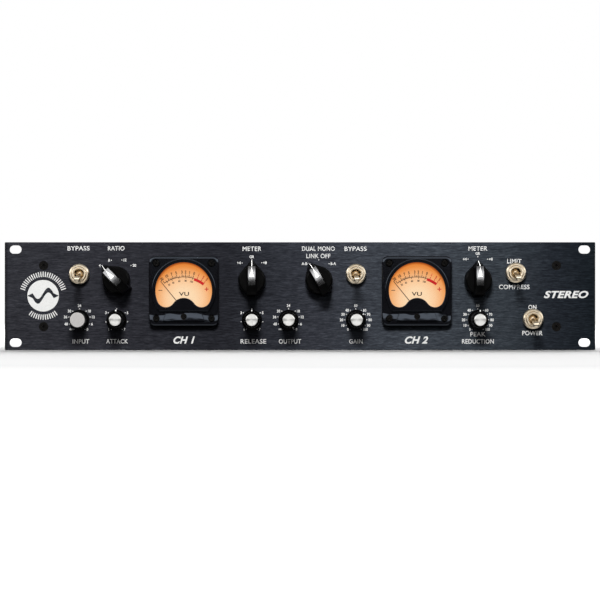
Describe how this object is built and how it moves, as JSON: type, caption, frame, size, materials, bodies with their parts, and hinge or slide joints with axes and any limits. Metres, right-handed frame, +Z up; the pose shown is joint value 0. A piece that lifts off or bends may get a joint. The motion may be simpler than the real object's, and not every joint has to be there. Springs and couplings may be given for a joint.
{
  "type": "rack compressor",
  "caption": "Two-unit 19-inch audio compressor with slotted ears, VU meters, pointer knobs, fluted knobs and toggle switches on a brushed black panel.",
  "frame": {"origin": "centre of the four rack slots, on the rear face of the front panel", "axes": "+X to the right as seen from the front, +Y into the rack, +Z up"},
  "size_m": [0.4826, 0.248, 0.0882],
  "materials": {
    "panel_black": "black anodised, brushed along X",
    "spun_aluminium": "turned or brushed, bare",
    "knob_black": "fine matt moulding",
    "bezel_black": "polished moulding",
    "moulded_black": "matt moulding",
    "satin_nickel": "warm satin nickel plate",
    "zinc_steel": "zinc plated",
    "chassis_black": "fine textured black powder coat",
    "screw_black": "black oxide",
    "clear_window": "clear polished acrylic",
    "dial_card": "matt warm print, lit from behind",
    "pointer_black": "matt black paint",
    "yoke_iron": "grey plated iron",
    "board_green": "green solder mask",
    "components": "mixed cans and mouldings",
    "transformer_wrap": "polyester tape over windings",
    "connector_black": "glass-filled moulding"
  },
  "bodies": {
    "chassis": {"front_panel": "panel_black", "potentiometer_bodies": "zinc_steel", "toggle_bushes_and_nuts": "satin_nickel", "switch_bodies": "moulded_black", "vu_cases": "moulded_black", "vu_bezels": "bezel_black", "vu_lenses": "clear_window", "vu_dials": "dial_card", "vu_movements": "yoke_iron", "vu_screws": "screw_black", "top_cover": "chassis_black", "bottom_plate": "chassis_black", "side_plates": "chassis_black", "rear_panel": "chassis_black", "case_screws": "screw_black", "nuts_and_standoffs": "zinc_steel", "circuit_board": "board_green", "board_components": "components", "power_transformer": "transformer_wrap", "power_inlet": "connector_black", "xlr_connectors": "connector_black", "jack_sockets": "connector_black"},
    "input_control": {"input_knob": "knob_black", "input_knob_cap": "spun_aluminium", "input_shaft": "zinc_steel"},
    "attack_control": {"attack_knob": "knob_black", "attack_knob_cap": "spun_aluminium", "attack_shaft": "zinc_steel"},
    "release_control": {"release_knob": "knob_black", "release_knob_cap": "spun_aluminium", "release_shaft": "zinc_steel"},
    "output_control": {"output_knob": "knob_black", "output_knob_cap": "spun_aluminium", "output_shaft": "zinc_steel"},
    "gain_control": {"gain_knob": "knob_black", "gain_knob_cap": "spun_aluminium", "gain_shaft": "zinc_steel"},
    "peak_reduction_control": {"peak_reduction_knob": "knob_black", "peak_reduction_knob_cap": "spun_aluminium", "peak_reduction_shaft": "zinc_steel"},
    "ratio_switch": {"ratio_knob": "knob_black", "ratio_knob_inlay": "spun_aluminium", "ratio_shaft": "zinc_steel"},
    "meter_left_switch": {"meter_left_knob": "knob_black", "meter_left_knob_inlay": "spun_aluminium", "meter_left_shaft": "zinc_steel"},
    "link_switch": {"link_knob": "knob_black", "link_knob_inlay": "spun_aluminium", "link_shaft": "zinc_steel"},
    "meter_right_switch": {"meter_right_knob": "knob_black", "meter_right_knob_inlay": "spun_aluminium", "meter_right_shaft": "zinc_steel"},
    "bypass_left_toggle": {"bypass_left_lever": "satin_nickel"},
    "bypass_right_toggle": {"bypass_right_lever": "satin_nickel"},
    "mode_toggle": {"mode_lever": "satin_nickel"},
    "power_toggle": {"power_lever": "satin_nickel"},
    "vu_pointer_left": {"vu_needle_left": "pointer_black"},
    "vu_adjuster_left": {"vu_zero_screw_left": "screw_black"},
    "vu_pointer_right": {"vu_needle_right": "pointer_black"},
    "vu_adjuster_right": {"vu_zero_screw_right": "screw_black"}
  },
  "joints": [
    {"name": "input_turn", "type": "hinge", "parent": "chassis", "child": "input_control", "pos_m": [-0.1802, 0, -0.0194], "axis": [0, 1, 0], "range_deg": [-192, 108]},
    {"name": "attack_turn", "type": "hinge", "parent": "chassis", "child": "attack_control", "pos_m": [-0.1498, 0, -0.0194], "axis": [0, 1, 0], "range_deg": [-146, 154]},
    {"name": "release_turn", "type": "hinge", "parent": "chassis", "child": "release_control", "pos_m": [-0.0393, 0, -0.0194], "axis": [0, 1, 0], "range_deg": [-150, 150]},
    {"name": "output_turn", "type": "hinge", "parent": "chassis", "child": "output_control", "pos_m": [-0.0094, 0, -0.0194], "axis": [0, 1, 0], "range_deg": [-300, 0]},
    {"name": "gain_turn", "type": "hinge", "parent": "chassis", "child": "gain_control", "pos_m": [0.0456, 0, -0.0194], "axis": [0, 1, 0], "range_deg": [-202, 98]},
    {"name": "peak_reduction_turn", "type": "hinge", "parent": "chassis", "child": "peak_reduction_control", "pos_m": [0.1453, 0, -0.0194], "axis": [0, 1, 0], "range_deg": [-162, 138]},
    {"name": "ratio_select", "type": "hinge", "parent": "chassis", "child": "ratio_switch", "pos_m": [-0.1498, 0, 0.0129], "axis": [0, 1, 0], "range_deg": [0, 90]},
    {"name": "meter_left_select", "type": "hinge", "parent": "chassis", "child": "meter_left_switch", "pos_m": [-0.0393, 0, 0.0129], "axis": [0, 1, 0], "range_deg": [-30, 30]},
    {"name": "link_select", "type": "hinge", "parent": "chassis", "child": "link_switch", "pos_m": [0.0154, 0, 0.0129], "axis": [0, 1, 0], "range_deg": [0, 60]},
    {"name": "meter_right_select", "type": "hinge", "parent": "chassis", "child": "meter_right_switch", "pos_m": [0.1453, 0, 0.0129], "axis": [0, 1, 0], "range_deg": [-30, 30]},
    {"name": "bypass_left_flip", "type": "hinge", "parent": "chassis", "child": "bypass_left_toggle", "pos_m": [-0.1802, -0.0015, 0.018], "axis": [-1, 0, 0], "range_deg": [0, 25]},
    {"name": "bypass_right_flip", "type": "hinge", "parent": "chassis", "child": "bypass_right_toggle", "pos_m": [0.0456, -0.0015, 0.018], "axis": [-1, 0, 0], "range_deg": [0, 25]},
    {"name": "mode_flip", "type": "hinge", "parent": "chassis", "child": "mode_toggle", "pos_m": [0.176, -0.0015, 0.019], "axis": [-1, 0, 0], "range_deg": [0, 25]},
    {"name": "power_flip", "type": "hinge", "parent": "chassis", "child": "power_toggle", "pos_m": [0.1901, -0.0015, -0.0186], "axis": [-1, 0, 0], "range_deg": [0, 25]},
    {"name": "vu_left_deflection", "type": "hinge", "parent": "chassis", "child": "vu_pointer_left", "pos_m": [-0.0947, 0, -0.0114], "axis": [0, 1, 0], "range_deg": [0, 78], "stiffness_Nm_per_rad": 0.0001},
    {"name": "vu_left_zero_adjust", "type": "hinge", "parent": "chassis", "child": "vu_adjuster_left", "pos_m": [-0.0947, 0, -0.0167], "axis": [0, 1, 0], "range_deg": [-60, 60]},
    {"name": "vu_right_deflection", "type": "hinge", "parent": "chassis", "child": "vu_pointer_right", "pos_m": [0.0952, 0, -0.0114], "axis": [0, 1, 0], "range_deg": [0, 78], "stiffness_Nm_per_rad": 0.0001},
    {"name": "vu_right_zero_adjust", "type": "hinge", "parent": "chassis", "child": "vu_adjuster_right", "pos_m": [0.0952, 0, -0.0167], "axis": [0, 1, 0], "range_deg": [-60, 60]}
  ]
}
